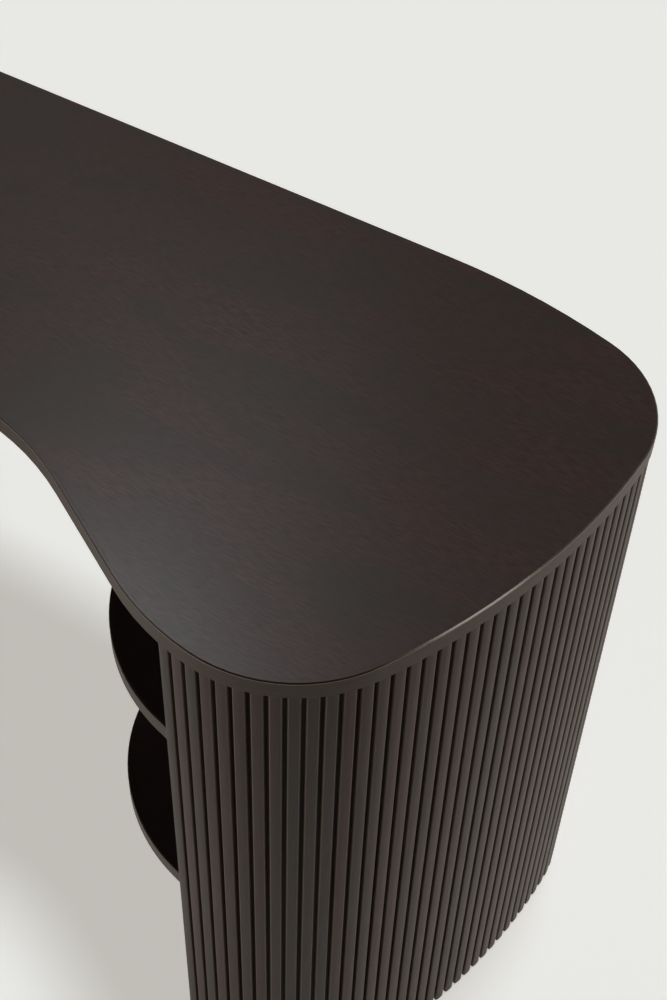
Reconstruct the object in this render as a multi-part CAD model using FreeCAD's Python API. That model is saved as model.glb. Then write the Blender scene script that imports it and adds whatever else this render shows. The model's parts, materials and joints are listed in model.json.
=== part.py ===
import FreeCAD, Part
import math
import os

os.makedirs("parts", exist_ok=True)

# Whole desk, millimetres; headings and turns are degrees, clockwise in plan from +X
length = 1398.0
depth = 548.0
height = 760.0
quarter_turn = 90.0
half_turn = 180.0
full_turn = 360.0

# Plan outline of the top, from the straight back edge round the right-hand end to the waist
back_curve_radius = 703.0
back_curve_turn = 15.6
corner_radius = 125.4
end_turn = 27.3
lobe_radius = 139.5
lobe_overturn = 5.9
flank_radius = 267.0
flank_turn = 22.7
flank_run = 123.0
waist_radius = 307.0

# Top board and its solid lipping
top_thickness = 20.0
lipping_width = 4.0
glue_line = 0.1
arris_width = 1.2
under_edge_radius = 0.5
top_overhang = 1.0

# Bent wall with its slats
pedestal_width_at_back = 252.9
wall_end_run = 38.2
slat_count = 56
slat_gap = 4.1
slat_thickness = 6.0
slat_corner_radius = 1.8
slat_crown_radius = 24.0
seam_gap = 0.1
skin_thickness = 10.0
end_lipping_thickness = 3.0
floor_gap = 1.5

# Shelves, one height for each bay from the top down
top_bay_height = 145.0
middle_bay_height = 240.0
shelf_thickness = 20.0
shelf_front_inset = 8.2
shelf_front_radius = 198.6
shelf_tangent_run = 21.5
shelf_edge_radius = 1.5

# C-shaped formers that hold the wall to its curve
former_thickness = 20.0
former_width = 50.0
former_setback = 12.0

# Rail under the top, across the kneehole
rail_height = 40.0
rail_thickness = 30.0
rail_screw_count = 5
rail_end_margin = 60.0
counterbore_radius = 5.0
dowel_radius = 4.0
dowel_length = 40.0
dowel_spacing = 16.0

# Countersunk wood screws and the clearance round every fixing
screw_radius = 2.0
screw_head_radius = 4.0
screw_head_height = 2.5
screw_point_length = 4.0
top_screw_length = 32.0
skin_screw_length = 35.0
screw_head_sink = 0.3
fixing_clearance = 0.05
skin_screw_shares = (0.083, 0.25, 0.417, 0.583, 0.75, 0.917)
top_screw_shares = (0.167, 0.333, 0.5, 0.667, 0.833)

# Levelling feet: pad, hexagon, threaded stud and insert
foot_shares = (0.045, 0.335, 0.665, 0.955)
pad_radius = 17.0
pad_height = 7.0
pad_top_radius = 13.0
pad_rim_height = 3.0
socket_radius = 5.0
socket_depth = 4.0
pad_play = 0.3
hexagon_across_flats = 13.0
hexagon_height = 5.0
hexagon_sides = 6
stud_radius = 4.0
insert_radius = 6.0
insert_flange_radius = 9.0
insert_flange_height = 1.5
insert_length = 18.0
running_clearance = 0.05

# Levels worked out from the sizes above
underside = height - top_thickness
upper_shelf_base = underside - top_bay_height - shelf_thickness
lower_shelf_base = upper_shelf_base - middle_bay_height - shelf_thickness
top_former_base = underside - former_thickness
hexagon_base = pad_height + pad_play
insert_flange_base = hexagon_base + hexagon_height
bottom_former_base = insert_flange_base + insert_flange_height
back_edge = depth / 2

# Distances inwards from the faces of the slats
skin_outer_inset = slat_thickness + glue_line
skin_inner_inset = skin_outer_inset + skin_thickness
board_inset = skin_inner_inset + glue_line
former_centre_inset = board_inset + former_width / 2


def forward(heading):
    angle = math.radians(heading)
    return FreeCAD.Vector(math.cos(angle), -math.sin(angle), 0)


def inward(heading):
    angle = math.radians(heading)
    return FreeCAD.Vector(-math.sin(angle), -math.cos(angle), 0)


# A path is a list of steps, each a straight (radius 0) or a tangent arc (negative radius: to the left)
def make_path(start, heading, moves):
    steps = []
    point = start
    for radius, amount in moves:
        run = abs(math.radians(amount) * radius) if radius else amount
        steps.append({"start": point, "heading": heading, "radius": radius, "run": run})
        point, heading = point_on(steps[-1], run, 0)
    return steps


def point_on(step, run, inset):
    heading = step["heading"]
    if step["radius"]:
        centre = step["start"] + inward(heading) * step["radius"]
        heading += math.degrees(run / step["radius"])
        point = centre - inward(heading) * step["radius"]
    else:
        point = step["start"] + forward(heading) * run
    return point + inward(heading) * inset, heading


# The same path at a distance to its inner side, with the runs measured there
def inset_path(path, inset):
    steps = []
    for step in path:
        radius = step["radius"] - inset if step["radius"] else 0
        run = step["run"] * radius / step["radius"] if radius else step["run"]
        start = point_on(step, 0, inset)[0]
        steps.append({"start": start, "heading": step["heading"], "radius": radius, "run": run})
    return steps


def path_run(path):
    return sum(step["run"] for step in path)


def locate(path, run, inset):
    for step in path[:-1]:
        if run <= step["run"]:
            return point_on(step, run, inset)
        run -= step["run"]
    return point_on(path[-1], run, inset)


# Edges along part of a path, at a distance to its inner side
def path_edges(path, first, last, inset):
    edges = []
    reached = 0
    for step in path:
        begin = max(first - reached, 0)
        end = min(last - reached, step["run"])
        reached += step["run"]
        if end <= begin:
            continue
        a = point_on(step, begin, inset)[0]
        b = point_on(step, end, inset)[0]
        if step["radius"]:
            middle = point_on(step, (begin + end) / 2, inset)[0]
            edges.append(Part.Arc(a, middle, b).toShape())
        else:
            edges.append(Part.LineSegment(a, b).toShape())
    return edges


def face_of(edges):
    return Part.Face(Part.Wire(Part.__sortEdges__(edges)))


def line(a, b):
    return Part.LineSegment(a, b).toShape()


def strip_face(path, first, last, outer_inset, inner_inset):
    edges = path_edges(path, first, last, outer_inset) + path_edges(path, first, last, inner_inset)
    for run in (first, last):
        edges.append(line(locate(path, run, outer_inset)[0], locate(path, run, inner_inset)[0]))
    return face_of(edges)


def middle_of(edge):
    return edge.valueAt((edge.FirstParameter + edge.LastParameter) / 2)


def raise_face(face, base, rise):
    solid = face.extrude(FreeCAD.Vector(0, 0, rise))
    solid.translate(FreeCAD.Vector(0, 0, base))
    return solid


# A turned solid: a profile of (radius, height) points, stood on the base point and pointing along the axis
def turned(profile, base, axis):
    points = [FreeCAD.Vector(radius, 0, level) for radius, level in profile]
    wire = Part.makePolygon(points + points[:1])
    solid = Part.Face(wire).revolve(FreeCAD.Vector(0, 0, 0), FreeCAD.Vector(0, 0, 1), full_turn)
    solid.Placement = FreeCAD.Placement(base, FreeCAD.Rotation(FreeCAD.Vector(0, 0, 1), axis))
    return solid


def screw_profile(reach, clearance):
    neck = reach - screw_point_length
    return [
        (0, 0),
        (screw_head_radius + clearance, 0),
        (screw_radius + clearance, screw_head_height),
        (screw_radius + clearance, neck),
        (0, reach + clearance),
    ]


def cylinder(radius, rise, base, axis):
    return Part.makeCylinder(radius, rise, base, axis)


def upright(point, level):
    return FreeCAD.Vector(point.x, point.y, level)


up = FreeCAD.Vector(0, 0, 1)
across = FreeCAD.Vector(1, 0, 0)
to_back = FreeCAD.Vector(0, 1, 0)


# Right half of the outline: the end radius closes the depth, the back run closes the length
def half_outline():
    turn = math.radians(back_curve_turn)
    end_heading = math.radians(quarter_turn + end_turn)
    curved_depth = back_curve_radius * (1 - math.cos(turn)) + corner_radius * math.cos(turn)
    lobe_depth = lobe_radius * (1 + math.cos(end_heading))
    end_radius = (depth - curved_depth - lobe_depth) / -math.cos(end_heading)
    curved_reach = back_curve_radius * math.sin(turn) + corner_radius * (1 - math.sin(turn))
    back_run = length / 2 - curved_reach
    lobe_turn = half_turn - quarter_turn - end_turn + lobe_overturn
    moves = [
        (0, back_run),
        (back_curve_radius, back_curve_turn),
        (corner_radius, quarter_turn - back_curve_turn),
        (end_radius, end_turn),
        (lobe_radius, lobe_turn),
        (flank_radius, flank_turn),
        (0, flank_run),
        (-waist_radius, lobe_overturn + flank_turn),
    ]
    path = make_path(FreeCAD.Vector(0, back_edge, 0), 0, moves)
    waist_end = locate(path, path_run(path), 0)[0]
    return path + make_path(waist_end, half_turn, [(0, waist_end.x)])


outline = half_outline()
outline_run = path_run(outline)

# Path of the slats' faces, from the back edge to a short run past the end of the lobe
wall = inset_path(outline, top_overhang)
lobe_step_count = 5
wall_first = length / 2 - pedestal_width_at_back
wall_last = path_run(wall[:lobe_step_count]) + wall_end_run
wall_run = wall_last - wall_first
slat_pitch = (wall_run + slat_gap) / slat_count
slat_width = slat_pitch - slat_gap


def mirrored(shape):
    return shape.mirror(FreeCAD.Vector(0, 0, 0), across)


# Whole outline at an inset, closed across the middle of the desk
def whole_face(inset):
    half = path_edges(outline, 0, outline_run, inset)
    middle = half[1:-1]
    back = locate(outline, outline[0]["run"], inset)[0]
    waist = locate(outline, outline_run - outline[-1]["run"], inset)[0]
    edges = middle + [mirrored(edge) for edge in middle]
    for point in (back, waist):
        edges.append(line(FreeCAD.Vector(-point.x, point.y, 0), point))
    return face_of(edges)


def level_edges(solid, level, wire_pick):
    tolerance = glue_line / 2
    flat = [face for face in solid.Faces
            if abs(face.BoundBox.ZMin - level) < tolerance and abs(face.BoundBox.ZMax - level) < tolerance]
    return [edge for face in flat for edge in wire_pick(face).Edges]


def make_desk_top():
    board = raise_face(whole_face(lipping_width + glue_line), underside, top_thickness)
    ring = raise_face(whole_face(0), underside, top_thickness)
    ring = ring.makeChamfer(arris_width, level_edges(ring, height, lambda face: face.OuterWire))
    ring = ring.makeFillet(under_edge_radius, level_edges(ring, underside, lambda face: face.OuterWire))
    ring = ring.cut(raise_face(whole_face(lipping_width), underside, top_thickness))
    return board, ring


# Slat section: flat back, straight sides, round shoulders and a gently crowned face
def slat_face():
    half = slat_width / 2
    shoulder_x = half - slat_corner_radius
    crown_low = slat_thickness - slat_crown_radius
    rise = math.sqrt((slat_crown_radius - slat_corner_radius) ** 2 - shoulder_x ** 2)
    shoulder_y = crown_low + rise
    tilt = math.atan2(shoulder_x, rise)
    crown_x = slat_crown_radius * math.sin(tilt)
    crown_y = crown_low + slat_crown_radius * math.cos(tilt)
    middle_tilt = (tilt + math.pi / 2) / 2
    bend_x = shoulder_x + slat_corner_radius * math.sin(middle_tilt)
    bend_y = shoulder_y + slat_corner_radius * math.cos(middle_tilt)
    right = [FreeCAD.Vector(half, 0, 0), FreeCAD.Vector(half, shoulder_y, 0),
             FreeCAD.Vector(bend_x, bend_y, 0), FreeCAD.Vector(crown_x, crown_y, 0)]
    left = [FreeCAD.Vector(-point.x, point.y, 0) for point in right]
    top = FreeCAD.Vector(0, slat_thickness, 0)
    edges = [
        line(left[0], right[0]),
        line(right[0], right[1]),
        Part.Arc(right[1], right[2], right[3]).toShape(),
        Part.Arc(right[3], top, left[3]).toShape(),
        Part.Arc(left[3], left[2], left[1]).toShape(),
        line(left[1], left[0]),
    ]
    return Part.Face(Part.Wire(edges))


def slat_centre(index):
    return wall_first + slat_width / 2 + index * slat_pitch


def make_slats():
    section = slat_face()
    slats = []
    for index in range(slat_count):
        seat, heading = locate(wall, slat_centre(index), slat_thickness)
        slat = raise_face(section, floor_gap, underside - seam_gap - floor_gap)
        facing = FreeCAD.Rotation(to_back, -inward(heading))
        slat.Placement = FreeCAD.Placement(seat, facing) * slat.Placement
        slats.append(slat)
    return slats


def make_wall():
    rise = underside - floor_gap
    insets = (skin_outer_inset, skin_inner_inset)
    first = wall_first + end_lipping_thickness
    last = wall_last - end_lipping_thickness
    skin = raise_face(strip_face(wall, first, last, *insets), floor_gap, rise)
    ends = [
        raise_face(strip_face(wall, wall_first, first, *insets), floor_gap, rise),
        raise_face(strip_face(wall, last, wall_last, *insets), floor_gap, rise),
    ]
    return skin, ends


# Free front of a shelf: it laps the wall's ends, runs on, turns by the front arc and closes by a back arc
def shelf_front_path():
    front, front_heading = locate(wall, wall_last + glue_line, shelf_front_inset)
    back, back_heading = locate(wall, wall_first - glue_line, shelf_front_inset)
    facing_back = half_turn + quarter_turn
    lead = make_path(front, front_heading, [
        (0, shelf_tangent_run),
        (shelf_front_radius, facing_back - front_heading),
    ])
    widest = locate(lead, path_run(lead), 0)[0]
    angle = math.radians(back_heading)
    back_reach = back.x - shelf_tangent_run * math.cos(angle) - widest.x
    back_radius = back_reach / (1 + math.sin(angle))
    straight = back.y - widest.y - back_radius * math.cos(angle) + shelf_tangent_run * math.sin(angle)
    return lead + make_path(widest, facing_back, [
        (0, straight),
        (back_radius, quarter_turn + back_heading),
        (0, shelf_tangent_run),
    ])


shelf_front = shelf_front_path()


def make_shelf(base):
    run = path_run(shelf_front)
    core_inset = lipping_width + glue_line
    first = wall_first - glue_line
    last = wall_last + glue_line
    edges = path_edges(wall, first, last, board_inset)
    edges += path_edges(shelf_front, 0, run, core_inset)
    edges.append(line(locate(wall, last, board_inset)[0], locate(shelf_front, 0, core_inset)[0]))
    edges.append(line(locate(wall, first, board_inset)[0], locate(shelf_front, run, core_inset)[0]))
    board = raise_face(face_of(edges), base, shelf_thickness)
    lipping = raise_face(strip_face(shelf_front, 0, run, 0, lipping_width), base, shelf_thickness)
    outer = path_edges(shelf_front, 0, run, 0)
    eased = []
    for level in (base, base + shelf_thickness):
        middles = [Part.Vertex(upright(middle_of(edge), level)) for edge in outer]
        eased += [edge for edge in lipping.Edges
                  if any(edge.distToShape(middle)[0] < glue_line for middle in middles)
                  and edge.BoundBox.ZLength < glue_line]
    return board, lipping.makeFillet(shelf_edge_radius, eased)


def make_former(base):
    face = strip_face(wall, wall_first + former_setback, wall_last - former_setback,
                      board_inset, board_inset + former_width)
    return raise_face(face, base, former_thickness)


rail_half = wall_first + 2 * former_setback
rail_centre = locate(wall, rail_half, former_centre_inset)[0].y


# Top former with its back end cut square for the rail
def make_top_former():
    former = make_former(top_former_base)
    block = Part.makeBox(rail_half, depth / 2, former_thickness, FreeCAD.Vector(0, 0, top_former_base))
    return former.cut(block)


def make_rail():
    size = (2 * rail_half, rail_thickness, rail_height)
    corner = FreeCAD.Vector(-rail_half, rail_centre - rail_thickness / 2, underside - rail_height)
    return Part.makeBox(*size, corner)


def rail_screw_bases():
    span = 2 * (rail_half - rail_end_margin)
    step = span / (rail_screw_count - 1)
    first = FreeCAD.Vector(-span / 2, rail_centre, top_former_base)
    return [first + across * (index * step) for index in range(rail_screw_count)]


def dowel_bases():
    level = top_former_base + former_thickness / 2
    first = rail_half - dowel_length / 2
    return [FreeCAD.Vector(first, rail_centre + side * dowel_spacing / 2, level) for side in (-1, 1)]


def former_points(shares):
    return [locate(wall, wall_first + share * wall_run, former_centre_inset)[0] for share in shares]


def top_screw_bases():
    return [upright(point, top_former_base) for point in former_points(top_screw_shares)]


# Skin screws stand behind the middle of the nearest slat, on each board's mid level
def skin_screw_seats(base, thickness):
    seats = []
    for share in skin_screw_shares:
        index = round(share * (slat_count - 1))
        point, heading = locate(wall, slat_centre(index), skin_outer_inset + screw_head_sink)
        seats.append((upright(point, base + thickness / 2), inward(heading)))
    return seats


def drill(shape, seats, reach):
    tools = [turned(screw_profile(reach, fixing_clearance), base, axis) for base, axis in seats]
    return shape.cut(tools)


def screws(seats, reach):
    return [turned(screw_profile(reach, 0), base, axis) for base, axis in seats]


def open_countersinks(skin, seats):
    mouths = [cylinder(screw_head_radius + fixing_clearance, screw_head_sink + glue_line, base, -axis)
              for base, axis in seats]
    return skin.cut(mouths)


def hexagon_face(level):
    corner = hexagon_across_flats / 2 / math.cos(math.pi / hexagon_sides)
    points = []
    for index in range(hexagon_sides + 1):
        angle = 2 * math.pi * index / hexagon_sides
        points.append(FreeCAD.Vector(corner * math.cos(angle), corner * math.sin(angle), level))
    return Part.Face(Part.makePolygon(points))


def make_pad(point):
    profile = [
        (0, 0),
        (pad_radius, 0),
        (pad_radius, pad_rim_height),
        (pad_top_radius, pad_height),
        (socket_radius, pad_height),
        (socket_radius, pad_height - socket_depth),
        (0, pad_height - socket_depth),
    ]
    return turned(profile, upright(point, 0), up)


def make_stud(point):
    spigot_base = FreeCAD.Vector(0, 0, pad_height - socket_depth)
    spigot = cylinder(socket_radius - running_clearance, socket_depth + pad_play, spigot_base, up)
    hexagon = hexagon_face(hexagon_base).extrude(up * hexagon_height)
    stem_rise = insert_flange_height + former_thickness
    stem = cylinder(stud_radius, stem_rise, FreeCAD.Vector(0, 0, insert_flange_base), up)
    stud = spigot.fuse([hexagon, stem])
    stud.translate(upright(point, 0))
    return stud


def make_insert(point):
    bore = stud_radius + running_clearance
    rise = insert_flange_height + insert_length
    profile = [
        (bore, 0),
        (insert_flange_radius, 0),
        (insert_flange_radius, insert_flange_height),
        (insert_radius, insert_flange_height),
        (insert_radius, rise),
        (bore, rise),
    ]
    return turned(profile, upright(point, insert_flange_base), up)


def make_pedestal():
    pieces = {}
    skin, ends = make_wall()
    boards = {
        "upper_shelf": (upper_shelf_base, shelf_thickness),
        "lower_shelf": (lower_shelf_base, shelf_thickness),
        "top_former": (top_former_base, former_thickness),
        "bottom_former": (bottom_former_base, former_thickness),
    }
    pieces["top_former"] = make_top_former()
    pieces["bottom_former"] = make_former(bottom_former_base)
    for name in ("upper_shelf", "lower_shelf"):
        pieces[name], pieces[name + "_lipping"] = make_shelf(boards[name][0])

    skin_screws = []
    for name, (base, thickness) in boards.items():
        seats = skin_screw_seats(base, thickness)
        skin = open_countersinks(drill(skin, seats, skin_screw_length), seats)
        pieces[name] = drill(pieces[name], seats, skin_screw_length)
        skin_screws += screws(seats, skin_screw_length)
    pieces["wall_skin"] = skin
    pieces["wall_end_lippings"] = Part.makeCompound(ends)
    pieces["slats"] = Part.makeCompound(make_slats())
    pieces["skin_screws"] = Part.makeCompound(skin_screws)

    seats = [(base, up) for base in top_screw_bases()]
    pieces["top_former"] = drill(pieces["top_former"], seats, top_screw_length)
    pieces["top_screws"] = Part.makeCompound(screws(seats, top_screw_length))
    holes = [cylinder(dowel_radius + fixing_clearance, dowel_length, base, across) for base in dowel_bases()]
    pieces["top_former"] = pieces["top_former"].cut(holes)

    feet = former_points(foot_shares)
    hole_radius = insert_radius + fixing_clearance
    hole_bases = [upright(point, bottom_former_base) for point in feet]
    holes = [cylinder(hole_radius, former_thickness, base, up) for base in hole_bases]
    pieces["bottom_former"] = pieces["bottom_former"].cut(holes)
    pieces["foot_inserts"] = Part.makeCompound([make_insert(point) for point in feet])
    for number, point in enumerate(feet, 1):
        pieces[f"foot_pad_{number}"] = make_pad(point)
        pieces[f"foot_stud_{number}"] = make_stud(point)
    return pieces


def make_middle():
    board, ring = make_desk_top()
    rail = make_rail()
    right_seats = [(base, up) for base in top_screw_bases()]
    left_seats = [(FreeCAD.Vector(-base.x, base.y, base.z), up) for base, axis in right_seats]
    rail_seats = [(base, up) for base in rail_screw_bases()]
    board = drill(board, right_seats + left_seats + rail_seats, top_screw_length)
    rail = drill(rail, rail_seats, top_screw_length)
    counterbores = [cylinder(counterbore_radius, rail_height - former_thickness,
                             upright(base, underside - rail_height), up) for base, axis in rail_seats]
    dowels = [cylinder(dowel_radius, dowel_length, base, across) for base in dowel_bases()]
    dowels += [mirrored(dowel) for dowel in dowels]
    holes = [cylinder(dowel_radius + fixing_clearance, dowel_length, base, across) for base in dowel_bases()]
    holes += [mirrored(hole) for hole in holes]
    return {
        "desk_top": board,
        "desk_top_lipping": ring,
        "back_rail": rail.cut(counterbores + holes),
        "back_rail_screws": Part.makeCompound(screws(rail_seats, top_screw_length)),
        "back_rail_dowels": Part.makeCompound(dowels),
    }


nodes = make_middle()
for name, shape in make_pedestal().items():
    nodes["right_" + name] = shape
    nodes["left_" + name] = mirrored(shape)

for name, shape in nodes.items():
    shape.exportStep(f"parts/{name}.step")
    box = shape.BoundBox
    print(f"{name}: {len(shape.Solids)} solids, {shape.Volume:.0f} mm3, valid {shape.isValid()},",
          f"z {box.ZMin:.2f} to {box.ZMax:.2f}")
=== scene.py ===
import json
import math
import random
import bpy
import bmesh
from mathutils import Matrix, Vector


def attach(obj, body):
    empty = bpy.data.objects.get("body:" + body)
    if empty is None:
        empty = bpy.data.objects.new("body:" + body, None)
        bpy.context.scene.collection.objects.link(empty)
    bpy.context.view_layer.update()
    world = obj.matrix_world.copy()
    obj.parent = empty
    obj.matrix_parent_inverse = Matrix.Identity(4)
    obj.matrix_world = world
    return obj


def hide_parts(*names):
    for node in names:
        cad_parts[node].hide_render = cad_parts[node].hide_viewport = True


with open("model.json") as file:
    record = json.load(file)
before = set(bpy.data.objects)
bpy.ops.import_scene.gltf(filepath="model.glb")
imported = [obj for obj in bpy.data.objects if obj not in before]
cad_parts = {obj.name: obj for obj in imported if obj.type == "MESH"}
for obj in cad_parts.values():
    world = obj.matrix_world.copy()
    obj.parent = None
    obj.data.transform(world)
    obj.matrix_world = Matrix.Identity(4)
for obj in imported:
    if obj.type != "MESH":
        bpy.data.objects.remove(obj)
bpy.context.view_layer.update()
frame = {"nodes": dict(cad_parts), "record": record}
nodes = frame["nodes"]
sides = ("right", "left")
print("frame loaded:", len(nodes), "nodes")


def linearColour(hexText):
    channels = [int(hexText[i:i + 2], 16) / 255 for i in (1, 3, 5)]
    return [c / 12.92 if c <= 0.04045 else ((c + 0.055) / 1.055) ** 2.4 for c in channels] + [1.0]


# inputs are values or other nodes' outputs; a Mix goes by number: 0 its share, 2 and 3 its values, 6 and 7 its colours
def setInputs(tree, node, inputs):
    for key, value in inputs.items():
        if isinstance(value, bpy.types.NodeSocket):
            tree.links.new(value, node.inputs[key])
        else:
            node.inputs[key].default_value = value


# settings are the node's own properties
def addNode(tree, kind, inputs=None, **settings):
    node = tree.nodes.new("ShaderNode" + kind)
    for key, value in settings.items():
        setattr(node, key, value)
    setInputs(tree, node, inputs or {})
    return node


def newMaterial(name):
    material = bpy.data.materials.new(name)
    material.use_nodes = True
    return material, material.node_tree, material.node_tree.nodes["Principled BSDF"]


# a pattern of grains, with their sizes along X, Y and Z in millimetres
def grainNoise(tree, place, sizes, detail, swirl=0.0):
    scale = [1000 / size for size in sizes]
    grains = addNode(tree, "Mapping", {"Vector": place, "Scale": scale}).outputs[0]
    return addNode(tree, "TexNoise", {"Vector": grains, "Scale": 1.0, "Detail": detail,
                                      "Distortion": swirl}).outputs["Fac"]


# camera solved from the photo: straight back edge, upright slats and the outline of the top
camera = {"place": (0.9774, -0.8958, 1.8265), "heading": 30.45, "tilt": 48.075, "roll": 2.153,
          "lens": 59.32, "sensor": 36.0}


def makeCamera():
    data = bpy.data.cameras.new("photoCamera")
    data.lens = camera["lens"]
    data.sensor_width = camera["sensor"]
    view = bpy.data.objects.new("photoCamera", data)
    turn = Matrix.Rotation(math.radians(camera["heading"]), 4, "Z")
    tilt = Matrix.Rotation(math.radians(90 - camera["tilt"]), 4, "X")  # tilt is the angle below the horizon
    roll = Matrix.Rotation(math.radians(camera["roll"]), 4, "Z")
    view.matrix_world = Matrix.Translation(camera["place"]) @ turn @ tilt @ roll
    bpy.context.scene.collection.objects.link(view)
    bpy.context.scene.camera = view


makeCamera()
bpy.context.scene.view_settings.view_transform = "Standard"
print("camera set")

# smoked oak veneer, sanded and lacquered satin: a dark brown, nearly even board with faint dashes of pore along it;
# the shelves have fewer coats, so that they stay duller, and are drawn darker as painted shade for the shade in the
# bays under the top
veneers = {
    "smokedOakTop": {"cool": "#241F1C", "warm": "#291F1D", "lift": 0.23, "roughLow": 0.28, "roughHigh": 0.32,
                     "specular": 0.13},
    "smokedOakShelfPaintedShade": {"cool": "#1C1613", "warm": "#231815", "lift": 0.2, "roughLow": 0.46, "roughHigh": 0.52,
                       "specular": 0.13},
}
# grain along the desk: sizes and depth in millimetres, and the span of each noise that is put to use
veneerGrain = {"pore": (13, 1.4, 1.4), "poreDetail": 2.0, "poreSpan": (0.36, 0.64), "roughSpan": (0.35, 0.65),
               "figure": (170, 55, 55), "figureDetail": 3.0, "figureSpan": (0.38, 0.62), "swirl": 0.5,
               "filled": 0.55, "bump": 0.05, "depth": 0.2}


def makeVeneer(name):
    veneer = veneers[name]
    material, tree, shader = newMaterial(name)
    place = addNode(tree, "TexCoord").outputs["Object"]
    # oak pores are 0.2 mm wide; drawn 1.4 mm wide so that they show at all
    poreNoise = grainNoise(tree, place, veneerGrain["pore"], veneerGrain["poreDetail"])
    figureNoise = grainNoise(tree, place, veneerGrain["figure"], veneerGrain["figureDetail"], veneerGrain["swirl"])
    low, high = veneerGrain["figureSpan"]
    patch = addNode(tree, "MapRange", {"Value": figureNoise, "From Min": low, "From Max": high}).outputs[0]
    tone = addNode(tree, "Mix", {0: patch, 6: linearColour(veneer["cool"]), 7: linearColour(veneer["warm"])},
                   data_type="RGBA").outputs[2]
    low, high = veneerGrain["poreSpan"]
    grain = addNode(tree, "MapRange", {"Value": poreNoise, "From Min": low, "From Max": high,
                                       "To Min": 1 - veneer["lift"], "To Max": 1 + veneer["lift"]}).outputs[0]
    # the pores show most in the warm patches and are half filled elsewhere
    shown = addNode(tree, "MapRange", {"Value": patch, "To Min": veneerGrain["filled"], "To Max": 1.0}).outputs[0]
    grain = addNode(tree, "Mix", {0: shown, 2: 1.0, 3: grain}).outputs[0]
    tone = addNode(tree, "VectorMath", {0: tone, "Scale": grain}, operation="SCALE").outputs[0]
    low, high = veneerGrain["roughSpan"]
    rough = addNode(tree, "MapRange", {"Value": poreNoise, "From Min": low, "From Max": high,
                                       "To Min": veneer["roughHigh"], "To Max": veneer["roughLow"]}).outputs[0]
    bump = addNode(tree, "Bump", {"Strength": veneerGrain["bump"], "Distance": veneerGrain["depth"] / 1000,
                                  "Height": poreNoise}).outputs[0]
    setInputs(tree, shader, {"Base Color": tone, "Roughness": rough, "Normal": bump,
                             "Specular IOR Level": veneer["specular"]})
    return material


# solid oak lipping, smoked and planed: upright edges in the slats' tone, with arrises that hands have rubbed smooth;
# a painted highlight, a thin light line just under the top's arris, lies between the two heights given for it, in
# millimetres, and turned gives how far a face looks up or down where the rubbing starts and where it is full
lipping = {"edgeDark": "#3A2E26", "edgeLight": "#42352B", "edgeTone": "#261C17", "paintedHighlight": "#7C6E62",
           "highlightFrom": 757.6, "highlightTo": 758.4, "turned": (0.1, 0.5), "edgeRough": 0.46, "rubbedRough": 0.3,
           "pore": (30, 30, 1.1), "poreDetail": 2.0, "poreSpan": (0.38, 0.64), "bump": 0.05, "depth": 0.2,
           "specular": 0.12}


def makeLipping():
    material, tree, shader = newMaterial("smokedOakLipping")
    place = addNode(tree, "TexCoord").outputs["Object"]
    # pores of 0.2 mm, drawn 1.1 mm wide so that they show
    noise = grainNoise(tree, place, lipping["pore"], lipping["poreDetail"])
    low, high = lipping["poreSpan"]
    grain = addNode(tree, "MapRange", {"Value": noise, "From Min": low, "From Max": high}).outputs[0]
    tone = addNode(tree, "Mix", {0: grain, 6: linearColour(lipping["edgeDark"]),
                                 7: linearColour(lipping["edgeLight"])}, data_type="RGBA").outputs[2]
    normal = addNode(tree, "NewGeometry").outputs["Normal"]
    upward = addNode(tree, "SeparateXYZ", {"Vector": normal}).outputs["Z"]
    level = addNode(tree, "Math", {0: upward}, operation="ABSOLUTE").outputs[0]
    low, high = lipping["turned"]
    turned = addNode(tree, "MapRange", {"Value": level, "From Min": low, "From Max": high}).outputs[0]
    # painted highlight: a light line along the edge of the top, just under its arris, where the arris catches the light
    height = addNode(tree, "SeparateXYZ", {"Vector": place}).outputs["Z"]
    paintedHighlight = addNode(tree, "MapRange", {"Value": height, "From Min": lipping["highlightFrom"] / 1000,
                                      "From Max": lipping["highlightTo"] / 1000}).outputs[0]
    tone = addNode(tree, "Mix", {0: paintedHighlight, 6: tone, 7: linearColour(lipping["paintedHighlight"])}, data_type="RGBA").outputs[2]
    tone = addNode(tree, "Mix", {0: turned, 6: tone, 7: linearColour(lipping["edgeTone"])}, data_type="RGBA").outputs[2]
    rough = addNode(tree, "MapRange", {"Value": turned, "To Min": lipping["edgeRough"],
                                       "To Max": lipping["rubbedRough"]}).outputs[0]
    bump = addNode(tree, "Bump", {"Strength": lipping["bump"], "Distance": lipping["depth"] / 1000,
                                  "Height": noise}).outputs[0]
    setInputs(tree, shader, {"Base Color": tone, "Roughness": rough, "Normal": bump,
                             "Specular IOR Level": lipping["specular"]})
    return material


# solid smoked oak, planed and lacquered satin: each slat has its own tone, upright grain and a painted highlight along
# both shoulders; sizes across, through and along a slat in millimetres, and apart is the most that its grain is shifted
# along it
slat = {"cool": "#332921", "warm": "#3C2922", "lift": 0.08, "roughLow": 0.42, "roughHigh": 0.48, "specular": 0.12,
        "pore": (0.9, 0.9, 40), "figure": (7, 7, 300), "detail": 2.0, "figureShare": 0.5, "grainSpan": (0.35, 0.65),
        # the lighter shoulder colour and its spans along the slat draw the painted highlight
        "apart": 9700, "edgeTone": "#5A4C40", "shoulder": (4.0, 4.7), "highlightSpan": (0.3, 0.7), "highlightRange": (0.5, 1.0),
        "bump": 0.06, "depth": 0.2}


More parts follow.
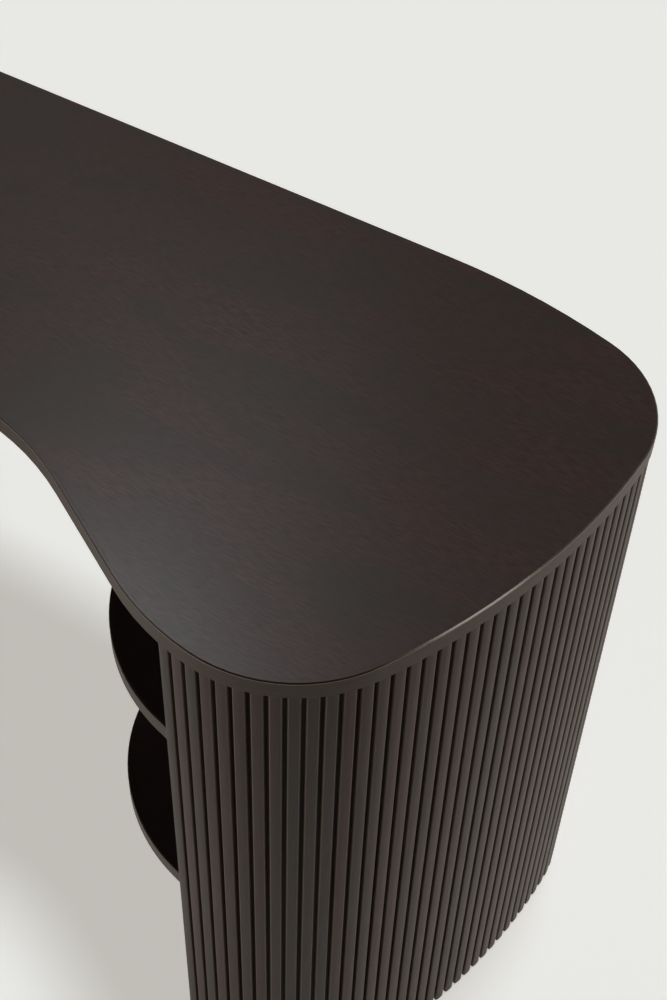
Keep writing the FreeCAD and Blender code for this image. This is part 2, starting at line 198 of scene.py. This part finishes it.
def makeSlatTimber():
    material, tree, shader = newMaterial("smokedOakSlat")
    place = addNode(tree, "TexCoord").outputs["Object"]
    own = addNode(tree, "Attribute", attribute_name="slatPlace").outputs["Vector"]
    across, seed, warmth = addNode(tree, "SeparateXYZ", {"Vector": own}).outputs
    height = addNode(tree, "SeparateXYZ", {"Vector": place}).outputs["Z"]
    shift = addNode(tree, "Math", {0: seed, 1: slat["apart"] / 1000}, operation="MULTIPLY").outputs[0]
    run = addNode(tree, "Math", {0: height, 1: shift}, operation="ADD").outputs[0]
    own = addNode(tree, "CombineXYZ", {"X": across, "Y": seed, "Z": run}).outputs[0]
    # oak pores are 0.2 mm wide; drawn 0.9 mm wide so that they show at all
    poreNoise = grainNoise(tree, own, slat["pore"], slat["detail"])
    figureNoise = grainNoise(tree, own, slat["figure"], slat["detail"])
    both = addNode(tree, "Mix", {0: slat["figureShare"], 2: poreNoise, 3: figureNoise}).outputs[0]
    low, high = slat["grainSpan"]
    grain = addNode(tree, "MapRange", {"Value": both, "From Min": low, "From Max": high,
                                       "To Min": 1 - slat["lift"], "To Max": 1 + slat["lift"]}).outputs[0]
    rough = addNode(tree, "MapRange", {"Value": poreNoise, "From Min": low, "From Max": high,
                                       "To Min": slat["roughHigh"], "To Max": slat["roughLow"]}).outputs[0]
    tone = addNode(tree, "Mix", {0: warmth, 6: linearColour(slat["cool"]), 7: linearColour(slat["warm"])},
                   data_type="RGBA").outputs[2]
    tone = addNode(tree, "VectorMath", {0: tone, "Scale": grain}, operation="SCALE").outputs[0]
    # painted highlight: both shoulders of a slat are drawn lighter, where its rounded corners catch the light, a little
    # unevenly along it
    aside = addNode(tree, "Math", {0: across}, operation="ABSOLUTE").outputs[0]
    low, high = [size / 1000 for size in slat["shoulder"]]
    shoulder = addNode(tree, "MapRange", {"Value": aside, "From Min": low, "From Max": high}).outputs[0]
    low, high = slat["highlightSpan"]
    least, most = slat["highlightRange"]
    patchy = addNode(tree, "MapRange", {"Value": figureNoise, "From Min": low, "From Max": high,
                                        "To Min": least, "To Max": most}).outputs[0]
    paintedHighlight = addNode(tree, "Math", {0: shoulder, 1: patchy}, operation="MULTIPLY").outputs[0]
    tone = addNode(tree, "Mix", {0: paintedHighlight, 6: tone, 7: linearColour(slat["edgeTone"])}, data_type="RGBA").outputs[2]
    bump = addNode(tree, "Bump", {"Strength": slat["bump"], "Distance": slat["depth"] / 1000,
                                  "Height": poreNoise}).outputs[0]
    setInputs(tree, shader, {"Base Color": tone, "Roughness": rough, "Normal": bump,
                             "Specular IOR Level": slat["specular"]})
    return material


# timber and ply in the shade of the desk, sawn and stained: plain brown tones with streaks of grain, and bare beech for
# the dowels; sizes of the grain along X, Y and Z, and its depth, in millimetres
boards = {
    "stainedBendingPly": {"dark": "#170E0A", "light": "#21160F", "grain": (12, 12, 220), "rough": 0.7},
    "stainedBirchPly": {"dark": "#1B1613", "light": "#2A231E", "grain": (160, 160, 1.5), "rough": 0.6},
    "stainedBeechRail": {"dark": "#241C17", "light": "#31271F", "grain": (180, 2, 2), "rough": 0.55},
    "flutedBeech": {"dark": "#B08A5E", "light": "#CBA877", "grain": (40, 1.5, 1.5), "rough": 0.6},
    "smokedOakUpright": {"dark": "#362F28", "light": "#3F362F", "grain": (1.2, 1.2, 50), "rough": 0.55},
}
boardSurface = {"detail": 3.0, "span": (0.35, 0.65), "uneven": 0.06, "bump": 0.2, "depth": 0.3, "specular": 0.11}


def makeBoard(name):
    board = boards[name]
    material, tree, shader = newMaterial(name)
    place = addNode(tree, "TexCoord").outputs["Object"]
    noise = grainNoise(tree, place, board["grain"], boardSurface["detail"])
    low, high = boardSurface["span"]
    grain = addNode(tree, "MapRange", {"Value": noise, "From Min": low, "From Max": high}).outputs[0]
    tone = addNode(tree, "Mix", {0: grain, 6: linearColour(board["dark"]), 7: linearColour(board["light"])},
                   data_type="RGBA").outputs[2]
    rough = addNode(tree, "MapRange", {"Value": noise, "To Min": board["rough"] + boardSurface["uneven"],
                                       "To Max": board["rough"] - boardSurface["uneven"]}).outputs[0]
    bump = addNode(tree, "Bump", {"Strength": boardSurface["bump"], "Distance": boardSurface["depth"] / 1000,
                                  "Height": noise}).outputs[0]
    setInputs(tree, shader, {"Base Color": tone, "Roughness": rough, "Normal": bump,
                             "Specular IOR Level": boardSurface["specular"]})
    return material


# zinc plating over rolled and turned steel: a grey, slightly cloudy metal
zinc = {"dark": "#9A9CA0", "light": "#BEBFC0", "cloud": (3, 3, 3), "detail": 3.0, "roughLow": 0.28, "roughHigh": 0.44}


def makeZinc():
    material, tree, shader = newMaterial("zincPlatedSteel")
    place = addNode(tree, "TexCoord").outputs["Object"]
    noise = grainNoise(tree, place, zinc["cloud"], zinc["detail"])
    tone = addNode(tree, "Mix", {0: noise, 6: linearColour(zinc["dark"]), 7: linearColour(zinc["light"])},
                   data_type="RGBA").outputs[2]
    rough = addNode(tree, "MapRange", {"Value": noise, "To Min": zinc["roughLow"],
                                       "To Max": zinc["roughHigh"]}).outputs[0]
    setInputs(tree, shader, {"Base Color": tone, "Roughness": rough, "Metallic": 1.0})
    return material


# moulded black nylon: a matt skin with the texture of a spark-eroded mould, drawn coarser than its 0.1 mm grit
nylon = {"dark": "#151515", "light": "#222222", "grit": (0.6, 0.6, 0.6), "detail": 1.0, "rough": 0.6, "bump": 0.3,
         "depth": 0.1}


def makeNylon():
    material, tree, shader = newMaterial("mouldedNylon")
    place = addNode(tree, "TexCoord").outputs["Object"]
    noise = grainNoise(tree, place, nylon["grit"], nylon["detail"])
    tone = addNode(tree, "Mix", {0: noise, 6: linearColour(nylon["dark"]), 7: linearColour(nylon["light"])},
                   data_type="RGBA").outputs[2]
    bump = addNode(tree, "Bump", {"Strength": nylon["bump"], "Distance": nylon["depth"] / 1000,
                                  "Height": noise}).outputs[0]
    setInputs(tree, shader, {"Base Color": tone, "Roughness": nylon["rough"], "Normal": bump})
    return material


# lacquered oak on the chamfer of the top, where hands and sleeves have polished it: dark, with a clear glint
arris = {"dark": "#1B1310", "light": "#261C16", "pore": (30, 30, 1), "detail": 2.0, "rough": 0.2, "uneven": 0.04,
         "specular": 0.5}


def makeArris():
    material, tree, shader = newMaterial("polishedOakArris")
    place = addNode(tree, "TexCoord").outputs["Object"]
    # pores of 0.2 mm, drawn 1 mm wide
    noise = grainNoise(tree, place, arris["pore"], arris["detail"])
    tone = addNode(tree, "Mix", {0: noise, 6: linearColour(arris["dark"]), 7: linearColour(arris["light"])},
                   data_type="RGBA").outputs[2]
    rough = addNode(tree, "MapRange", {"Value": noise, "To Min": arris["rough"] - arris["uneven"],
                                       "To Max": arris["rough"] + arris["uneven"]}).outputs[0]
    setInputs(tree, shader, {"Base Color": tone, "Roughness": rough, "Specular IOR Level": arris["specular"]})
    return material


rubbedArris = makeArris()
finishes = {
    # the shelves' copy of the veneer is darker as painted shade
    "stained_veneer": makeVeneer("smokedOakShelfPaintedShade"),
    "stained_timber": makeLipping(),
    "stained_slat": makeSlatTimber(),
    "stained_plywood": makeBoard("stainedBendingPly"),
    "former_plywood": makeBoard("stainedBirchPly"),
    "rail_timber": makeBoard("stainedBeechRail"),
    "beech_dowel": makeBoard("flutedBeech"),
    "zinc_steel": makeZinc(),
    "nylon_pad": makeNylon(),
}
topVeneer = makeVeneer("smokedOakTop")
uprightOak = makeBoard("smokedOakUpright")

for part in frame["record"]["subparts"]:
    mesh = nodes[part["node"]].data
    mesh.materials.clear()
    finish = finishes[part["material_slot"]]
    if part["node"] == "desk_top":
        finish = topVeneer
    elif part["node"].endswith("wall_end_lippings"):
        finish = uprightOak
    mesh.materials.append(finish)
print("finishes on the nodes:", len(finishes))


# large faces lead the shading, so that a flat stays flat beside its rounded corner
def shadeByFaces(piece, sharp):
    mesh = piece.data
    mesh.attributes.remove(mesh.attributes["custom_normal"])
    mesh.shade_smooth()
    mesh.set_sharp_from_angle(angle=math.radians(sharp))
    even = piece.modifiers.new("evenShading", "WEIGHTED_NORMAL")
    even.keep_sharp = True


def islandsOf(bm):
    left = set(bm.verts)
    while left:
        start = min(left, key=lambda vert: vert.index)
        island, queue = {start}, [start]
        while queue:
            for edge in queue.pop().link_edges:
                for vert in edge.verts:
                    if vert not in island:
                        island.add(vert)
                        queue.append(vert)
        left -= island
        yield sorted(island, key=lambda vert: vert.index)


# each side's slats are one piece again, with a place across the slat, a seed and a tone for every slat
slatWall = {"join": 1e-6, "sharp": 38, "seed": 11}


def makeSlatWall(side):
    mesh = nodes[side + "_slats"].data.copy()
    bm = bmesh.new()
    bm.from_mesh(mesh)
    bmesh.ops.remove_doubles(bm, verts=bm.verts, dist=slatWall["join"])
    bm.verts.index_update()
    layer = bm.verts.layers.float_vector.new("slatPlace")
    chance = random.Random(slatWall["seed"] + sides.index(side))
    count = 0
    for island in islandsOf(bm):
        # a slat is wider than it is thick, so its corners spread most across it
        centre = sum((vert.co for vert in island), Vector()) / len(island)
        spreadXX = sum((vert.co.x - centre.x) ** 2 for vert in island)
        spreadYY = sum((vert.co.y - centre.y) ** 2 for vert in island)
        spreadXY = sum((vert.co.x - centre.x) * (vert.co.y - centre.y) for vert in island)
        angle = 0.5 * math.atan2(2 * spreadXY, spreadXX - spreadYY)
        along = Vector((math.cos(angle), math.sin(angle), 0))
        seed, warmth = chance.random(), chance.random()
        for vert in island:
            vert[layer] = ((vert.co - centre).dot(along), seed, warmth)
        count += 1
    bm.to_mesh(mesh)
    bm.free()
    mesh.materials.clear()
    mesh.materials.append(finishes["stained_slat"])
    piece = bpy.data.objects.new(side + "SlatWall", mesh)
    shadeByFaces(piece, slatWall["sharp"])
    bpy.context.scene.collection.objects.link(piece)
    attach(piece, "desk")
    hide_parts(side + "_slats")
    print(piece.name, "has", count, "slats")


for side in sides:
    makeSlatWall(side)

# the top's lipping is one piece again too: veneered on the flat, rubbed on the arris, planed on the edge;
# flat and arris give how far a face looks up or down there, at least
topLipping = {"join": 1e-6, "sharp": 12, "flat": 0.9, "arris": 0.4}


def makeTopLipping():
    mesh = nodes["desk_top_lipping"].data.copy()
    mesh.materials.clear()
    for finish in (topVeneer, rubbedArris, finishes["stained_timber"]):
        mesh.materials.append(finish)
    bm = bmesh.new()
    bm.from_mesh(mesh)
    bmesh.ops.remove_doubles(bm, verts=bm.verts, dist=topLipping["join"])
    bm.normal_update()
    for face in bm.faces:
        level = abs(face.normal.z)
        face.material_index = 0 if level > topLipping["flat"] else 1 if level > topLipping["arris"] else 2
    bm.to_mesh(mesh)
    bm.free()
    piece = bpy.data.objects.new("topLipping", mesh)
    shadeByFaces(piece, topLipping["sharp"])
    bpy.context.scene.collection.objects.link(piece)
    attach(piece, "desk")
    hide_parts("desk_top_lipping")
    print(piece.name, "has", len(mesh.polygons), "faces")


makeTopLipping()

# plain pale floor that sweeps up to a backdrop all round, in metres: white paper under the overhead panel, over the
# plain tone that it keeps in the shade
floorPlan = {"flat": 7.0, "sweep": 2.0, "height": 4.7, "bends": 12, "turns": 96, "join": 1e-4,
             "paper": "#DBE2E4", "shade": "#BEBAB4", "rough": 0.95}


def makeFloor():
    mesh = bpy.data.meshes.new("floor")
    bm = bmesh.new()
    flat, sweep, bends = floorPlan["flat"], floorPlan["sweep"], floorPlan["bends"]
    profile = [(0, 0)]
    for step in range(bends + 1):
        bend = math.pi / 2 * step / bends
        profile.append((flat + sweep * math.sin(bend), sweep * (1 - math.cos(bend))))
    profile.append((flat + sweep, floorPlan["height"]))
    line = [bm.verts.new((out, 0, up)) for out, up in profile]
    edges = [bm.edges.new(pair) for pair in zip(line, line[1:])]
    bmesh.ops.spin(bm, geom=line + edges, cent=(0, 0, 0), axis=(0, 0, 1), angle=2 * math.pi,
                   steps=floorPlan["turns"], use_merge=True)
    bmesh.ops.remove_doubles(bm, verts=bm.verts, dist=floorPlan["join"])
    bmesh.ops.recalc_face_normals(bm, faces=bm.faces)
    for face in bm.faces:
        face.smooth = True
    bm.to_mesh(mesh)
    bm.free()
    floor = bpy.data.objects.new("floor", mesh)
    floor.visible_shadow = False
    material, tree, shader = newMaterial("mattPaper")
    setInputs(tree, shader, {"Base Color": linearColour(floorPlan["paper"]), "Roughness": floorPlan["rough"],
                             "Specular IOR Level": 0.0})
    path = addNode(tree, "LightPath").outputs
    seen = addNode(tree, "Math", {0: path["Is Camera Ray"], 1: path["Is Glossy Ray"]}, operation="MAXIMUM").outputs[0]
    seen = addNode(tree, "Math", {0: seen, 1: path["Is Transmission Ray"]}, operation="MAXIMUM").outputs[0]
    plain = addNode(tree, "Emission", {"Color": linearColour(floorPlan["shade"]), "Strength": seen})
    both = addNode(tree, "AddShader", {0: shader.outputs[0], 1: plain.outputs[0]})
    tree.links.new(both.outputs[0], tree.nodes["Material Output"].inputs["Surface"])
    mesh.materials.append(material)
    bpy.context.scene.collection.objects.link(floor)
    return floor


floor = makeFloor()
print("floor laid")

# soft boxes near the desk: place, edge length, power, colour, and whether they light the wood or only show as gloss
softBoxes = {
    "sheen": {"place": (-0.78, 0.77, 3.24), "size": 0.7, "power": 32, "colour": "#FBFDFF", "tint": True},
    "sheenBack": {"place": (-0.85, 1.60, 2.93), "size": 0.7, "power": 3.7, "colour": "#FBFDFF", "tint": True},
    "sheenLow": {"place": (-1.63, 1.67, 2.64), "size": 0.7, "power": 0.9, "colour": "#FBFDFF", "tint": True},
    "glint": {"place": (3.30, 0.45, 2.0), "size": 0.8, "power": 15, "colour": "#FFF2E4", "tint": False},
}
# broad far panels: the side that they stand on, the angle that they fill, strength, and whether they show as gloss
panels = {
    "overhead": {"side": (0.02, 0.138, 0.99), "fills": 9.2, "strength": 1.21, "gloss": True},
    "frontLeft": {"side": (-0.4, -0.86, 0.3), "fills": 50, "strength": 0.25, "gloss": False},
    "leftFront": {"side": (-0.75, -0.58, 0.3), "fills": 50, "strength": 1.6, "gloss": False},
    "rightBack": {"side": (0.8, 0.5, 0.3), "fills": 50, "strength": 0.8, "gloss": False},
    "backRight": {"side": (0.48, 0.83, 0.3), "fills": 30, "strength": 4.7, "gloss": False},
}
studio = {"aim": (0.3, 0.0, 0.5), "away": 4.0, "air": "#FFFFFF", "ambient": 0.01}


def placeLamp(name, data, place, aim):
    lamp = bpy.data.objects.new(name, data)
    lamp.location = place
    lamp.rotation_euler = (Vector(aim) - Vector(place)).to_track_quat("-Z", "Y").to_euler()
    bpy.context.scene.collection.objects.link(lamp)
    return lamp


def makeLights():
    # only the overhead panel throws a shadow on the paper, the others are kept off it
    keptOff = bpy.data.collections.new("keptOff")
    keptOff.objects.link(floor)
    keptOff.collection_objects[0].light_linking.link_state = "EXCLUDE"
    for name, box in softBoxes.items():
        data = bpy.data.lights.new(name, "AREA")
        data.shape = "SQUARE"
        data.size = box["size"]
        data.energy = box["power"]
        data.color = linearColour(box["colour"])[:3]
        lamp = placeLamp(name, data, box["place"], studio["aim"])
        lamp.visible_diffuse = box["tint"]
        lamp.light_linking.receiver_collection = keptOff
    for name, panel in panels.items():
        data = bpy.data.lights.new(name, "SUN")
        data.angle = math.radians(panel["fills"])
        data.energy = panel["strength"]
        lamp = placeLamp(name, data, [studio["away"] * part for part in panel["side"]], (0, 0, 0))
        lamp.visible_glossy = panel["gloss"]
        if name != "overhead":
            lamp.light_linking.receiver_collection = keptOff
    world = bpy.data.worlds.new("studio")
    bpy.context.scene.world = world
    world.use_nodes = True
    setInputs(world.node_tree, world.node_tree.nodes["Background"],
              {"Color": linearColour(studio["air"]), "Strength": studio["ambient"]})


makeLights()
print("studio lit")
